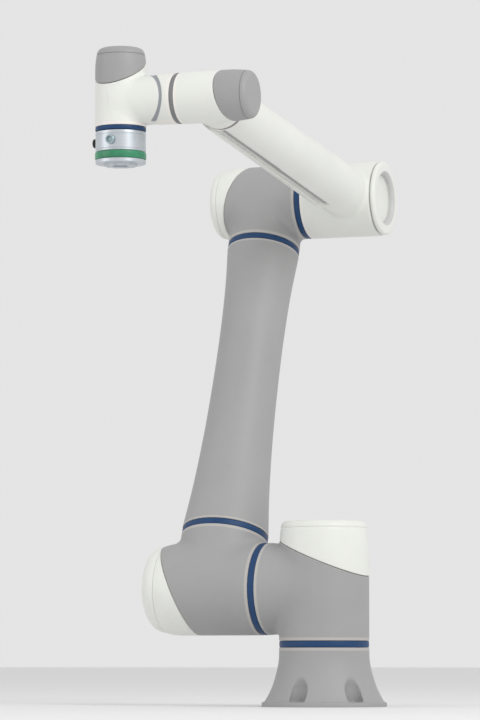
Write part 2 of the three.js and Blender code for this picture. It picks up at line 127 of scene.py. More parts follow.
class Nodes:
    """Short calls for building a node material. Scales are per metre, bump distances in metres."""

    def __init__(self, name):
        self.material = bpy.data.materials.new(name)
        self.material.use_nodes = True
        self.tree = self.material.node_tree
        self.shader = self.tree.nodes["Principled BSDF"]
        self.place = self.tree.nodes.new("ShaderNodeTexCoord").outputs["Object"]

    def node(self, kind, inputs=None, **settings):
        node = self.tree.nodes.new("ShaderNode" + kind)
        for key, value in settings.items():
            setattr(node, key, value)
        for key, value in (inputs or {}).items():
            self.put(node.inputs[key], value)
        return node

    def put(self, socket, value):
        if isinstance(value, bpy.types.NodeSocket):
            self.tree.links.new(value, socket)
        else:
            socket.default_value = value

    def set(self, **inputs):
        for key, value in inputs.items():
            self.put(self.shader.inputs[key.replace("_", " ")], value)

    def noise(self, scale, detail=3.0, roughness=0.55, vector=None):
        node = self.node("TexNoise", {"Scale": scale, "Detail": detail, "Roughness": roughness})
        self.put(node.inputs["Vector"], self.place if vector is None else vector)
        return node.outputs["Fac"]

    def span(self, value, low, high, to_low, to_high):
        return self.node("MapRange", {"Value": value, "From Min": low, "From Max": high,
                                      "To Min": to_low, "To Max": to_high}).outputs["Result"]

    def math(self, operation, a, b=0.0):
        return self.node("Math", {0: a, 1: b}, operation=operation).outputs["Value"]

    def mix(self, share, a, b):
        node = self.node("Mix", {"Factor": share}, data_type="RGBA")
        for socket, value in ((node.inputs[6], a), (node.inputs[7], b)):
            self.put(socket, value if isinstance(value, bpy.types.NodeSocket) else (*value[:3], 1.0))
        return node.outputs[2]

    def bump(self, height, distance, strength=1.0, normal=None):
        node = self.node("Bump", {"Height": height, "Distance": distance, "Strength": strength})
        if normal is not None:
            self.put(node.inputs["Normal"], normal)
        return node.outputs["Normal"]


def shade(colour, factor):
    return tuple(c * factor for c in colour[:3])


def painted(name, colour, roughness, peel=1.0, lip_and_shade=None, seam=None):
    """Sprayed or moulded surface with fine orange peel and faint mottling.

    A mesh's per-point attribute for lips and painted shade takes it to the lip colour at 1 and to the seam
    colour at -1; on the end cover the colour at 1 is painted shade.
    """
    m = Nodes(name)
    cloud = m.noise(7.0, 4.0)
    fine = m.noise(420.0, 2.0)
    speck = m.noise(1500.0, 1.0)
    tone = m.mix(m.span(cloud, 0.35, 0.65, 0.0, 1.0), shade(colour, 0.965), shade(colour, 1.02))
    tone = m.mix(m.span(fine, 0.30, 0.75, 0.0, 0.35), tone, shade(colour, 0.93))
    if lip_and_shade:
        edge = m.node("Attribute", attribute_name="lip_and_shade").outputs["Fac"]
        tone = m.mix(m.span(edge, 0.35, 0.65, 0.0, 1.0), tone, lip_and_shade)
        if seam:
            tone = m.mix(m.span(edge, -0.3, -0.7, 0.0, 1.0), tone, seam)
    m.set(Base_Color=tone, Roughness=m.span(cloud, 0.3, 0.7, roughness - 0.04, roughness + 0.05))
    peeled = m.bump(fine, 0.00012 * peel, 0.35)
    m.set(Normal=m.bump(speck, 0.00003 * peel, 0.30, peeled))
    m.shader.inputs["Specular IOR Level"].default_value = 0.45
    m.shader.inputs["Coat Weight"].default_value = 0.06
    m.shader.inputs["Coat Roughness"].default_value = 0.35
    return m.material


def elastomer(name, colour, roughness):
    """Rubber or dull plastic with a fine grain and a little dust."""
    m = Nodes(name)
    grain = m.noise(900.0, 2.0)
    dust = m.noise(24.0, 4.0)
    tone = m.mix(m.span(dust, 0.45, 0.8, 0.0, 0.5), colour, shade(colour, 1.35))
    m.set(Base_Color=tone, Roughness=m.span(dust, 0.3, 0.7, roughness - 0.05, roughness + 0.08))
    m.set(Normal=m.bump(grain, 0.00005, 0.4))
    m.shader.inputs["Specular IOR Level"].default_value = 0.4
    return m.material


def metal(name, colour, roughness, centre=(0, 0, 0), axis="Z", brush=1.0, metallic=1.0):
    """Turned metal: tool marks run round the given axis through a point."""
    m = Nodes(name)
    local = m.node("VectorMath", {0: m.place, 1: tuple(centre)}, operation="SUBTRACT").outputs["Vector"]
    parts = m.node("SeparateXYZ", {0: local}).outputs
    across = [k for k in range(3) if k != "XYZ".index(axis)]
    first, second = [m.math("MULTIPLY", parts[k], parts[k]) for k in across]
    radius = m.math("SQRT", m.math("ADD", first, second))
    marks_per_metre = 2600.0
    marks = m.node("CombineXYZ", {"X": m.math("MULTIPLY", radius, marks_per_metre),
                                  "Y": m.math("MULTIPLY", parts["XYZ".index(axis)], marks_per_metre)})
    lines = m.noise(1.0, 2.0, vector=marks.outputs["Vector"])
    smudge = m.noise(35.0, 4.0)
    tone = m.mix(m.span(lines, 0.3, 0.7, 0.0, 1.0), shade(colour, 0.9), shade(colour, 1.06))
    m.set(Base_Color=tone, Metallic=metallic,
          Roughness=m.span(smudge, 0.3, 0.7, roughness - 0.05, roughness + 0.07))
    m.set(Normal=m.bump(lines, 0.00003 * brush, 0.5))
    return m.material


def glowing(name, colour, strength):
    """Frosted diffuser, faintly lit from inside in uneven cells."""
    m = Nodes(name)
    frost = m.noise(600.0, 2.0)
    cells = m.noise(55.0, 1.0)
    tone = m.mix(m.span(cells, 0.35, 0.65, 0.0, 1.0), shade(colour, 0.85), shade(colour, 1.1))
    m.set(Base_Color=tone, Emission_Color=tone, Normal=m.bump(frost, 0.00004, 0.4),
          Roughness=m.span(frost, 0.3, 0.7, 0.22, 0.34))
    m.shader.inputs["Emission Strength"].default_value = strength
    return m.material


def winding(name, colour):
    """Enamelled wire, wound side by side."""
    m = Nodes(name)
    wave = m.node("TexWave", {"Vector": m.place, "Scale": 260.0, "Distortion": 1.5, "Detail": 1.0})
    wires = wave.outputs["Fac"]
    tone = m.mix(wires, shade(colour, 0.5), shade(colour, 1.2))
    m.set(Base_Color=tone, Metallic=0.35, Roughness=m.span(wires, 0, 1, 0.55, 0.35),
          Normal=m.bump(wires, 0.0004, 0.6))
    return m.material


GREY = (0.360, 0.360, 0.360)
WHITE = (0.80, 0.81, 0.765)
BLUE = (0.006, 0.045, 0.135)
GREEN = (0.03, 0.22, 0.11)
GREY_LIP = (0.47, 0.455, 0.435)
WHITE_LIP = (0.84, 0.81, 0.77)
NECK_SEAM = (0.29, 0.305, 0.33)
# Painted shade for the end cover's foot and the step round its disc.
COVER_PAINTED_SHADE = (0.56, 0.565, 0.55)
MATERIAL = {
    "grey_casting": painted("grey_casting", GREY, 0.54, lip_and_shade=GREY_LIP),
    "grey_cover": painted("grey_cover", shade(GREY, 0.96), 0.48, peel=0.6),
    "white_casting": painted("white_casting", WHITE, 0.46, lip_and_shade=WHITE_LIP, seam=NECK_SEAM),
    # The end cover's painted shade comes in through its per-point attribute.
    "white_cover": painted("white_cover", WHITE, 0.42, peel=0.6, lip_and_shade=COVER_PAINTED_SHADE),
    "blue_ring": elastomer("blue_ring", BLUE, 0.46),
    "grey_ring": elastomer("grey_ring", (0.20, 0.205, 0.21), 0.5),
    "silver_aluminium": metal("silver_aluminium", (0.60, 0.64, 0.68), 0.36,
                              centre=HEAD_AT, metallic=0.75),
    "plug_metal": metal("plug_metal", (0.42, 0.52, 0.54), 0.34, axis="Y"),
    "black_plastic": elastomer("black_plastic", (0.022, 0.023, 0.026), 0.5),
    "led_diffuser": glowing("led_diffuser", GREEN, 0.12),
    "cable_jacket": elastomer("cable_jacket", (0.02, 0.02, 0.02), 0.6),
    "gear_steel": metal("gear_steel", (0.45, 0.46, 0.48), 0.28),
    "rotor_steel": metal("rotor_steel", (0.40, 0.41, 0.43), 0.34),
    "winding_copper": winding("winding_copper", (0.42, 0.15, 0.06)),
    "brake_black": elastomer("brake_black", (0.03, 0.03, 0.032), 0.55),
}
for node_name, node in frame["nodes"].items():
    node.data.materials.clear()
    node.data.materials.append(MATERIAL[SLOTS[node_name]])


# ---------------------------------------------------------------- making pieces
def make(name, bm, place, body, slot, replaces=(), lip_and_shade=None, sharp=32):
    """Turns a closed mesh into a piece in the frame. The optional per-point function gives each point's
    value of the attribute for pale lips and, on the end cover, painted shade.
    """
    bmesh.ops.remove_doubles(bm, verts=bm.verts, dist=0.002)
    bmesh.ops.recalc_face_normals(bm, faces=bm.faces)
    mesh = bpy.data.meshes.new(name)
    bm.to_mesh(mesh)
    bm.free()
    if lip_and_shade:
        points = np.empty(len(mesh.vertices) * 3)
        mesh.vertices.foreach_get("co", points)
        layer = mesh.attributes.new("lip_and_shade", "FLOAT", "POINT")
        layer.data.foreach_set("value", lip_and_shade(points.reshape(-1, 3)).astype(np.float32))
    mesh.transform(PLACE[place])
    mesh.polygons.foreach_set("use_smooth", [True] * len(mesh.polygons))
    mesh.set_sharp_from_angle(angle=math.radians(sharp))
    mesh.materials.append(MATERIAL[slot])
    piece = bpy.data.objects.new(name + "_visual" if replaces else name, mesh)
    bpy.context.collection.objects.link(piece)
    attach(piece, body)
    if replaces:
        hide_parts(*replaces)
    return piece


def lathe(outline, sides=ROUND):
    """A closed solid of revolution about local Z from [radius, height] points."""
    bm = bmesh.new()
    rings = []
    for radius, height in outline:
        if radius < 1e-6:
            rings.append([bm.verts.new((0, 0, height))])
        else:
            rings.append([bm.verts.new((radius * math.cos(2 * math.pi * i / sides),
                                        radius * math.sin(2 * math.pi * i / sides), height))
                          for i in range(sides)])
    for low, high in zip(rings, rings[1:] + rings[:1]):
        for i in range(sides):
            j = (i + 1) % sides
            corners = [low[i % len(low)], low[j % len(low)], high[j % len(high)], high[i % len(high)]]
            face = list(dict.fromkeys(corners))
            if len(face) > 2:
                bm.faces.new(face)
    return bm


def arc(centre_r, centre_z, radius, start, end, steps):
    """Points on an arc of an outline, between two angles in degrees."""
    return [(centre_r + radius * math.cos(math.radians(start + (end - start) * i / steps)),
             centre_z + radius * math.sin(math.radians(start + (end - start) * i / steps)))
            for i in range(steps + 1)]


def rounded_ring(inner, outer, low, high, edge=1.2, crown=0.0):
    """The outline of a ring with rounded outer edges and a slightly crowned rim."""
    middle = (low + high) / 2
    return [(inner, low), *arc(outer - edge, low + edge, edge, -90, 0, 5), (outer + crown, middle),
            *arc(outer - edge, high - edge, edge, 0, 90, 5), (inner, high)]


def settle(field, points, rounds=4, reach=0.15):
    """Moves points along the field's slope until they lie on its zero level."""
    steps = np.eye(3) * reach
    for _ in range(rounds):
        slope = np.stack([field(points + step) - field(points - step) for step in steps], axis=-1)
        slope /= 2 * reach
        size = np.maximum((slope ** 2).sum(axis=-1), 0.3)
        points = points - slope * (field(points) / size)[:, None]
    return points


def net(field, low, high, cell):
    """Quads round the zero level of a field, with each corner moved onto the level itself."""
    axes = [np.arange(lo, hi + cell, cell) for lo, hi in zip(low, high)]
    grid = np.stack(np.meshgrid(*axes, indexing="ij"), axis=-1)
    value = field(grid)
    inside = value < 0
    cells = [n - 1 for n in value.shape]
    total = np.zeros(cells + [3])
    count = np.zeros(cells)
    crossings = []
    for axis in range(3):
        first, second = [slice(None)] * 3, [slice(None)] * 3
        first[axis], second[axis] = slice(0, -1), slice(1, None)
        a, b = value[tuple(first)], value[tuple(second)]
        cross = (a < 0) != (b < 0)
        point = grid[tuple(first)].copy()
        point[..., axis] += cell * np.where(cross, a / np.where(cross, a - b, 1), 0)
        crossings.append(cross)
        others = [k for k in range(3) if k != axis]
        for i in (0, 1):
            for j in (0, 1):
                part = [slice(None)] * 3
                part[others[0]] = slice(i, i + cells[others[0]])
                part[others[1]] = slice(j, j + cells[others[1]])
                mask = cross[tuple(part)]
                total += point[tuple(part)] * mask[..., None]
                count += mask
    used = count > 0
    index = np.full(cells, -1)
    index[used] = np.arange(used.sum())
    points = settle(field, total[used] / count[used][:, None])
    quads = []
    for axis in range(3):
        b, c = [k for k in range(3) if k != axis]
        where = np.argwhere(crossings[axis])
        keep = (where[:, b] > 0) & (where[:, b] < cells[b]) & (where[:, c] > 0) & (where[:, c] < cells[c])
        where = where[keep]
        corners = []
        for shift_b, shift_c in ((-1, -1), (0, -1), (0, 0), (-1, 0)):
            at = where.copy()
            at[:, b] += shift_b
            at[:, c] += shift_c
            corners.append(index[at[:, 0], at[:, 1], at[:, 2]])
        face = np.stack(corners, axis=1)
        outward = inside[where[:, 0], where[:, 1], where[:, 2]]
        if axis == 1:
            outward = ~outward
        face[~outward] = face[~outward][:, ::-1]
        quads.append(face)
    mesh = bpy.data.meshes.new("net")
    mesh.from_pydata(points.tolist(), [], np.concatenate(quads).tolist())
    bm = bmesh.new()
    bm.from_mesh(mesh)
    bpy.data.meshes.remove(mesh)
    return bm


def cut(bm, point, outward, chamfer=CHAMFER):
    """Takes off what lies beyond a plane, breaks the new edges and closes the face."""
    point, outward = Vector(point), Vector(outward).normalized()
    geometry = bm.verts[:] + bm.edges[:] + bm.faces[:]
    bmesh.ops.bisect_plane(bm, geom=geometry, dist=1e-5, plane_co=point - outward * chamfer,
                           plane_no=outward, clear_outer=True)
    start = (point - outward * chamfer).dot(outward)

    def on_plane(v):
        return abs(v.co.dot(outward) - start) < 1e-3

    rim = [e for e in bm.edges if e.is_boundary and all(on_plane(v) for v in e.verts)]
    bm.normal_update()
    inward = {}
    for v in {v for e in rim for v in e.verts}:
        flat = v.normal - outward * v.normal.dot(outward)
        inward[v.co.copy().freeze()] = -flat.normalized() * chamfer
    extruded = bmesh.ops.extrude_edge_only(bm, edges=rim)["geom"]
    fresh = {g for g in extruded if isinstance(g, bmesh.types.BMVert)}
    for v in fresh:
        v.co = v.co + outward * chamfer + inward[v.co.copy().freeze()]
    edges = [e for e in bm.edges if e.is_boundary and e.verts[0] in fresh and e.verts[1] in fresh]
    bmesh.ops.triangle_fill(bm, use_beauty=True, use_dissolve=False, edges=edges)


# ---------------------------------------------------------------- fields
def round_union(a, b, radius):
    """Two solids joined with a fillet of this radius."""
    return (np.maximum(radius, np.minimum(a, b))
            - np.hypot(np.maximum(radius - a, 0), np.maximum(radius - b, 0)))


def round_cut(a, b, radius):
    """What two solids share, with the edge between them rounded to this radius."""
    return (np.minimum(-radius, np.maximum(a, b))
            + np.hypot(np.maximum(radius + a, 0), np.maximum(radius + b, 0)))


# One entry per joint, in mm. u runs along the joint's axis, from the middle of its seal ring to the end of
# its cap, and local X along the branch that leaves the housing sideways.
#   radius, wall               the round body and its wall
#   seam                       where the housing starts along u
#   cap_end, cap_radius        the cap's end and its radius there
#   edge, dome                 rounding and crown of the cap's end
#   parting, slope, long_side  the slanted seam's height on the axis, its slope, and the way it faces
#   at, end                    the branch's height and length
#   root, tip                  its radius at the body and at its end
#   end_wall, hole             wall across the branch's end, and the radius of the cable hole in it
#   fillet                     between body and branch
SPEC = {
    "joint1": dict(radius=90, wall=9, seam=7, cap_end=247, cap_radius=86, edge=13, dome=2,
                   parting=172, slope=0.42, long_side=180,
                   at=111, end=116, root=84, tip=92.5, end_wall=10, hole=27, fillet=13),
    "joint2": dict(radius=93, wall=9, seam=7, cap_end=248, cap_radius=88, edge=34, dome=3,
                   parting=183, slope=0.44, long_side=173,
                   at=105, end=108.5, root=86, tip=88, end_wall=0, hole=27, fillet=13),
    "joint3": dict(radius=78, wall=8, seam=6.5, cap_end=203, cap_radius=72, edge=18, dome=3,
                   parting=141, slope=0.35, long_side=206,
                   at=88, end=103.5, root=72, tip=75, end_wall=0, hole=22, fillet=12),
    "joint4": dict(radius=49, wall=6, seam=4.5, cap_end=151, cap_radius=46, edge=11, dome=1.5,
                   parting=98, slope=0.3, long_side=148,
                   at=60, end=61.5, root=46.5, tip=47, end_wall=0, hole=14, fillet=8),
    "joint5": dict(radius=49, wall=6, seam=4.5, cap_end=158, cap_radius=46, edge=13, dome=3,
                   parting=112, slope=0.6, long_side=258,
                   at=54, end=117.5, root=46, tip=48.5, end_wall=6, hole=14, fillet=9),
}


def body_radius(s, u):
    """Outer radius of a module: straight, then drawn in towards the cap's end."""
    start = min(s["parting"], s["cap_end"] - s["edge"] - 10)
    share = np.clip((u - start) / (s["cap_end"] - s["edge"] - start), 0, 1.2)
    return s["radius"] - (s["radius"] - s["cap_radius"]) * share ** 2


def parting_normal(s):
    """Direction that the slanted seam between housing and cap faces."""
    tilt, turn = math.atan(s["slope"]), math.radians(s["long_side"])
    return Vector((math.sin(tilt) * math.cos(turn), math.sin(tilt) * math.sin(turn), math.cos(tilt)))


def module_field(s, groove=None):
    """The hollow T-shaped housing of one joint. groove adds depth at a point of its outer surface."""
    normal = np.array(parting_normal(s))

    def field(p):
        x, y, u = p[..., 0], p[..., 1], p[..., 2]
        r = np.hypot(x, y)
        bowl = s["cap_end"] - s["dome"] * (r / s["radius"]) ** 2
        outer = round_cut(r - body_radius(s, u), u - bowl, s["edge"])
        stem_radius = s["root"] + (s["tip"] - s["root"]) * np.clip(x / s["end"], 0, 1.1)
        reach = np.hypot(y, u - s["at"])
        stem = np.maximum(reach - stem_radius, -x)
        below = -(p @ normal - s["parting"] * normal[2])
        fillet = np.clip(0.85 * np.minimum(u - s["seam"], below), 1.5, s["fillet"])
        outer = round_union(outer, stem, fillet)
        if groove:
            outer = outer + groove(p)
        cavity = np.maximum(r - body_radius(s, u) + s["wall"], u - s["cap_end"] + s["wall"])
        bore = np.maximum(reach - stem_radius + s["wall"], -x)
        if s["end_wall"]:
            bore = np.maximum(bore, x - s["end"] + s["end_wall"])
            bore = np.minimum(bore, np.maximum(reach - s["hole"], -x))
        return np.maximum(outer, -np.minimum(cavity, bore))

    return field


def lip_near(*planes, width=4.5):
    """1 within this many millimetres of the given planes, each an axis number and a position."""
    fade = 3

    def lip_and_shade(points):
        near = np.min([np.abs(points[:, axis] - at) for axis, at in planes], axis=0)
        return np.clip(1 + (width - near) / fade, 0, 1)

    return lip_and_shade


def cap_outline(s):
    """Outline of a joint's hollow cap, from below the slanted seam to the middle of its end."""
    low = s["parting"] - s["slope"] * s["radius"] - 12
    knee = s["cap_end"] - s["edge"]
    rows = np.linspace(low, knee, 26)
    centre = float(body_radius(s, knee)) - s["edge"]
    outer = [(float(body_radius(s, u)), float(u)) for u in rows[:-1]]
    rim, bend = float(body_radius(s, knee)), knee - s["dome"] * 0.5
    line, depth = bend - 0.4, 0.9
    outer += [(rim, line - 1.9), (rim - depth, line - 1.5), (rim - depth, line - 0.4), (rim, line)]
    outer += arc(centre, bend, s["edge"], 4, 86, 12)
    start_r, start_z = outer[-1]
    crown = s["cap_end"] - start_z
    flat = [(start_r * k, start_z + crown * (1 - k * k)) for k in (0.8, 0.6, 0.4, 0.2, 0)]
    wall = s["wall"] - 2
    inner = [(0, s["cap_end"] - wall - 1), (centre, s["cap_end"] - wall - 1 - s["dome"]),
             *[(float(body_radius(s, u)) - wall - 1, float(u)) for u in (knee - 2, low + 20, low)]]
    return outer + flat + inner


def module(key, body, housing, cap, housing_slot, cap_slot, cell=3.0, groove=None, mark=None):
    """One joint's housing and its slanted cap. mark is where the housing takes its seam colour."""
    s = SPEC[key]
    field = module_field(s, groove)
    # Not a whole number of cells, so that no grid point lies exactly on a wall.
    widest = s["radius"] + 3.37 * cell
    normal = parting_normal(s)
    top = min(s["parting"] + s["slope"] * s["radius"], s["cap_end"]) + 6
    bm = net(field, (-widest, -widest, s["seam"] - 2 * cell), (s["end"] + 2 * cell, widest, top), cell)
    middle = Vector((0, 0, s["parting"]))
    cut(bm, middle - normal * LINE, normal)
    cut(bm, (0, 0, s["seam"]), (0, 0, -1), END_CHAMFER)
    cut(bm, (s["end"], 0, 0), (1, 0, 0), END_CHAMFER)
    lip_and_shade = lip_near((2, s["seam"]), (0, s["end"]))
    tint = (lambda p: lip_and_shade(p) - mark(p)) if mark else lip_and_shade
    make(housing, bm, key, body, housing_slot, (housing,), lip_and_shade=tint)
    shell = lathe(cap_outline(s))
    cut(shell, middle + normal * LINE, -normal)
    make(cap, shell, key, body, cap_slot, (cap,))


def seal_ring(name, place, body, radius, inner, half, slot, middle=0.0):
    """A ring between two housings, set back a little from their surface."""
    low, high = middle - half + LINE, middle + half - LINE
    outline = rounded_ring(inner, radius - 0.8, low, high, edge=1.6, crown=0.5)
    make(name, lathe(outline), place, body, slot, (name,))


# ---------------------------------------------------------------- base
BASE_RADIUS, BASE_TOP = 90, 117
BASE_WALL_RADIUS, BASE_FLOOR, BASE_ROOF = 78, 14, 105
CABLE_HOLE_RADIUS = 27
PLATE_RADIUS, PLATE_TOP = 125, 9
FLARE, FLARE_LOW, FLARE_HEIGHT = 29, 12, 92
BOLT_CIRCLE_RADIUS, BOLT_HOLE_RADIUS, FIRST_BOLT = 110, 6.5, 22
SCALLOP_RADIUS, SCALLOP_FLOOR, SCALLOP_SHOULDER, SCALLOP_TAPER = 18, 10, 36, 50
POCKET_HALF_WIDTH, POCKET_HALF_HEIGHT, POCKET_BACK = 38, 27, 84


def base_field(p):
    """The flared foot on its round plate, with six scalloped screw holes, a panel pocket and a hollow."""
    x, y, z = p[..., 0], p[..., 1], p[..., 2]
    r = np.hypot(x, y)
    spread = np.clip(1 - (z - FLARE_LOW) / FLARE_HEIGHT, 0, 1.02) ** 1.8
    plate = round_cut(r - PLATE_RADIUS, z - PLATE_TOP, 1.8)
    body = round_union(r - (BASE_RADIUS + FLARE * spread), plate, 3.0)
    for i in range(6):
        angle = math.radians(FIRST_BOLT + 60 * i)
        off = np.hypot(x - BOLT_CIRCLE_RADIUS * math.cos(angle), y - BOLT_CIRCLE_RADIUS * math.sin(angle))
        over = np.clip(z - SCALLOP_SHOULDER, 0, 60) / SCALLOP_TAPER
        scallop = np.maximum(off - SCALLOP_RADIUS * (1 - over ** 1.3), SCALLOP_FLOOR - z)
        body = round_cut(body, -scallop, 3.0)
        body = np.maximum(body, BOLT_HOLE_RADIUS - off)
    pocket = np.maximum(np.abs(x) - POCKET_HALF_WIDTH, POCKET_BACK - y)
    pocket = np.maximum(pocket, np.abs(z - PANEL_HEIGHT) - POCKET_HALF_HEIGHT)
    body = round_cut(body, -pocket, 2.5)
    hollow = np.maximum(np.maximum(r - BASE_WALL_RADIUS, BASE_FLOOR - z), z - BASE_ROOF)
    throat = np.maximum(r - CABLE_HOLE_RADIUS, BASE_FLOOR - z)
    return np.maximum(body, -np.minimum(hollow, throat))


def add_base():
    # The grid starts off the round numbers, so that none of its points lies exactly on a wall.
    bm = net(base_field, (-131.9, -131.6, -6.3), (131, 131, 124), 2.8)
    cut(bm, (0, 0, 0), (0, 0, -1), 0.6)
    cut(bm, (0, 0, BASE_TOP), (0, 0, 1), END_CHAMFER)
    make("base_casting", bm, "world", "base", "grey_casting", ("base_casting",),
         lip_and_shade=lip_near((2, BASE_TOP)))


add_base()
module("joint1", "shoulder", "shoulder_housing", "shoulder_cap", "grey_casting", "white_cover")
module("joint2", "upper_arm", "upper_arm_foot", "upper_arm_cap", "grey_casting", "white_cover")
module("joint3", "upper_arm", "elbow_housing", "elbow_cap", "grey_casting", "white_cover", 2.8)
module("joint4", "forearm", "wrist_housing", "wrist_cap", "white_casting", "grey_cover", 2.0)


def neck_seam(p):
    """Distance to the curved seam on the head's neck, which is the outer part of a circle."""
    centre_x, centre_u, radius = 51, 54, 50
    off = np.abs(np.hypot(p[..., 0] - centre_x, p[..., 2] - centre_u) - radius)
    far = 99
    return np.where(p[..., 0] > centre_x + 2, off, far)


module("joint5", "head", "head_housing", "head_cap", "white_casting", "grey_cover", 2.0,
       groove=lambda p: 1.3 * np.exp(-(neck_seam(p) / 2.4) ** 2),
       mark=lambda p: np.clip((4.4 - neck_seam(p)) / 2.4, 0, 1))
SEALS = (                        # joint, body that the ring sits on, inner radius, look
    ("joint1", "base", 78.6, "blue_ring"),
    ("joint2", "shoulder", 81, "blue_ring"),
    ("joint3", "forearm", 68, "blue_ring"),
    ("joint4", "head", 42.8, "grey_ring"),
    ("joint5", "flange", 42.8, "blue_ring"),
)
for key, body, inner, slot in SEALS:
    seal_ring(f"{key}_seal_ring", key, body, SPEC[key]["radius"], inner, SPEC[key]["seam"], slot)


# ---------------------------------------------------------------- upper arm
LOWER_RING, UPPER_RING, RING_HALF = 115, UPPER_LENGTH - 110, 6.5
WAIST = [(0, 88), (0.12, 80), (0.3, 72), (0.5, 67.5), (0.72, 66.5), (0.88, 69.5), (1, 75)]
UPPER_WALL = 7


def smooth_outline(points, rows):
    """A curve through [share, radius] points, sampled evenly."""
    share, radius = np.array(points, dtype=float).T
    slope = np.gradient(radius, share)
    at = np.linspace(0, 1, rows)
    k = np.clip(np.searchsorted(share, at, side="right") - 1, 0, len(share) - 2)
    width = share[k + 1] - share[k]
    t = (at - share[k]) / width
    value = ((2 * t ** 3 - 3 * t ** 2 + 1) * radius[k] + (t ** 3 - 2 * t ** 2 + t) * width * slope[k]
             + (-2 * t ** 3 + 3 * t ** 2) * radius[k + 1] + (t ** 3 - t ** 2) * width * slope[k + 1])
    return list(zip(at.tolist(), value.tolist()))


def add_upper_arm():
    low, high = LOWER_RING + RING_HALF, UPPER_RING - RING_HALF
    outer = [(r, low + share * (high - low)) for share, r in smooth_outline(WAIST, 90)]
    ends = [(outer[0][0] - 0.8, low + 0.1), (outer[0][0] - 0.05, low + 0.8)]
    tops = [(outer[-1][0] - 0.05, high - 0.8), (outer[-1][0] - 0.8, high - 0.1)]
    body = [point for point in outer if low + 1 < point[1] < high - 1]
    inner = [(r - UPPER_WALL, z) for r, z in (outer[0], *outer[5:-5:5], outer[-1])][::-1]
    make("upper_arm_tube", lathe(ends + body + tops + inner), "upper", "upper_arm", "grey_casting",
         ("upper_arm_tube",), lip_and_shade=lip_near((2, low), (2, high)))
    rings = (("lower_tube_ring", WAIST[0][1], LOWER_RING), ("upper_tube_ring", WAIST[-1][1], UPPER_RING))
    for name, radius, middle in rings:
        seal_ring(name, "upper", "upper_arm", radius, radius - 11, RING_HALF, "blue_ring", middle)


add_upper_arm()


# ---------------------------------------------------------------- forearm
# The root is a drum on the elbow axis, local Z. The tube leaves it along local X.
DRUM_RADIUS, DRUM_START, DRUM_END = 78, 6.5, 159
WELL_RADIUS, WELL_DEPTH = 63, 11
TUBE_AT = 102                    # the tube's axis along the elbow axis
TUBE_ROOT_RADIUS, WRIST_RADIUS, TUBE_WALL = 53, 47, 6
WRIST_RING, WRIST_RING_HALF = FORE_LENGTH - 66, 4.5
TUBE_END = WRIST_RING - WRIST_RING_HALF
STRIP_START, STRIP_END = 160, 757
STRIP_MIDDLE, STRIP_HALF = math.radians(-131.5), math.radians(29.5)
GROOVE = math.radians(-92)       # round the tube, from +X towards up, as the strip's middle is
GROOVE_HALF, GROOVE_DEPTH, GROOVE_END = 6.4, 5.0, 755
# Half width of the grey strip in the groove, which is painted shade.
GROOVE_SHADE_HALF = math.radians(6.6)


def tube_radius(x):
    return TUBE_ROOT_RADIUS - (TUBE_ROOT_RADIUS - WRIST_RADIUS) * np.clip(x / TUBE_END, 0, 1.02)


def forearm_field(p):
    """Drum and tube in one hollow casting, with a well for the end cover and a groove along the tube."""
    x, y, z = p[..., 0], p[..., 1], p[..., 2]
    r = np.hypot(x, y)
    side = z - TUBE_AT
    off = np.hypot(y, side)
    surface = tube_radius(x)
    drum = round_cut(r - DRUM_RADIUS, z - DRUM_END, 3)
    shaft = np.maximum(off - surface, -x)
    fillet = np.clip(0.85 * (z - DRUM_START), 1.5, 8)
    body = round_union(drum, shaft, fillet)

    # Local y points down, so the groove's angle is measured with y turned round.
    angle = np.arctan2(-y, side) - GROOVE
    across, outwards = off * np.sin(angle), off * np.cos(angle)
    channel = np.maximum(np.abs(across) - GROOVE_HALF, surface - GROOVE_DEPTH - off)
    channel = np.maximum(channel, -outwards)
    channel = np.maximum(channel, np.maximum(STRIP_START + 4 - x, x - GROOVE_END))
    body = round_cut(body, -channel, 1.6)
    well = np.maximum(r - WELL_RADIUS, DRUM_END - WELL_DEPTH - z)
    body = round_cut(body, -well, 1.5)

    cavity = np.maximum(np.maximum(r - 70, z - 149), 16 - z)
    throat = np.maximum(r - 22, z - 150)
    bore = np.maximum(off - surface + TUBE_WALL, -x)
    # A rib along the bore keeps the wall thick behind the groove.
    rib = np.maximum(np.abs(across) - 16, surface - 14 - off)
    bore = np.maximum(bore, -np.maximum(rib, -outwards))
    return np.maximum(body, -np.minimum(np.minimum(cavity, bore), throat))


def cover_painted_shade(p):
    """Painted shade: 1 at the end cover's foot and on the step round its disc, the recesses where shade
    falls, which the material paints greyer.
    """
    r, z = np.hypot(p[:, 0], p[:, 1]), p[:, 2]
    foot = np.clip((163.5 - z) / 2, 0, 1) * (r > WELL_RADIUS - 1)
    step = np.clip((6 - np.abs(r - 52.5)) / 3, 0, 1)
    return np.maximum(foot, step)


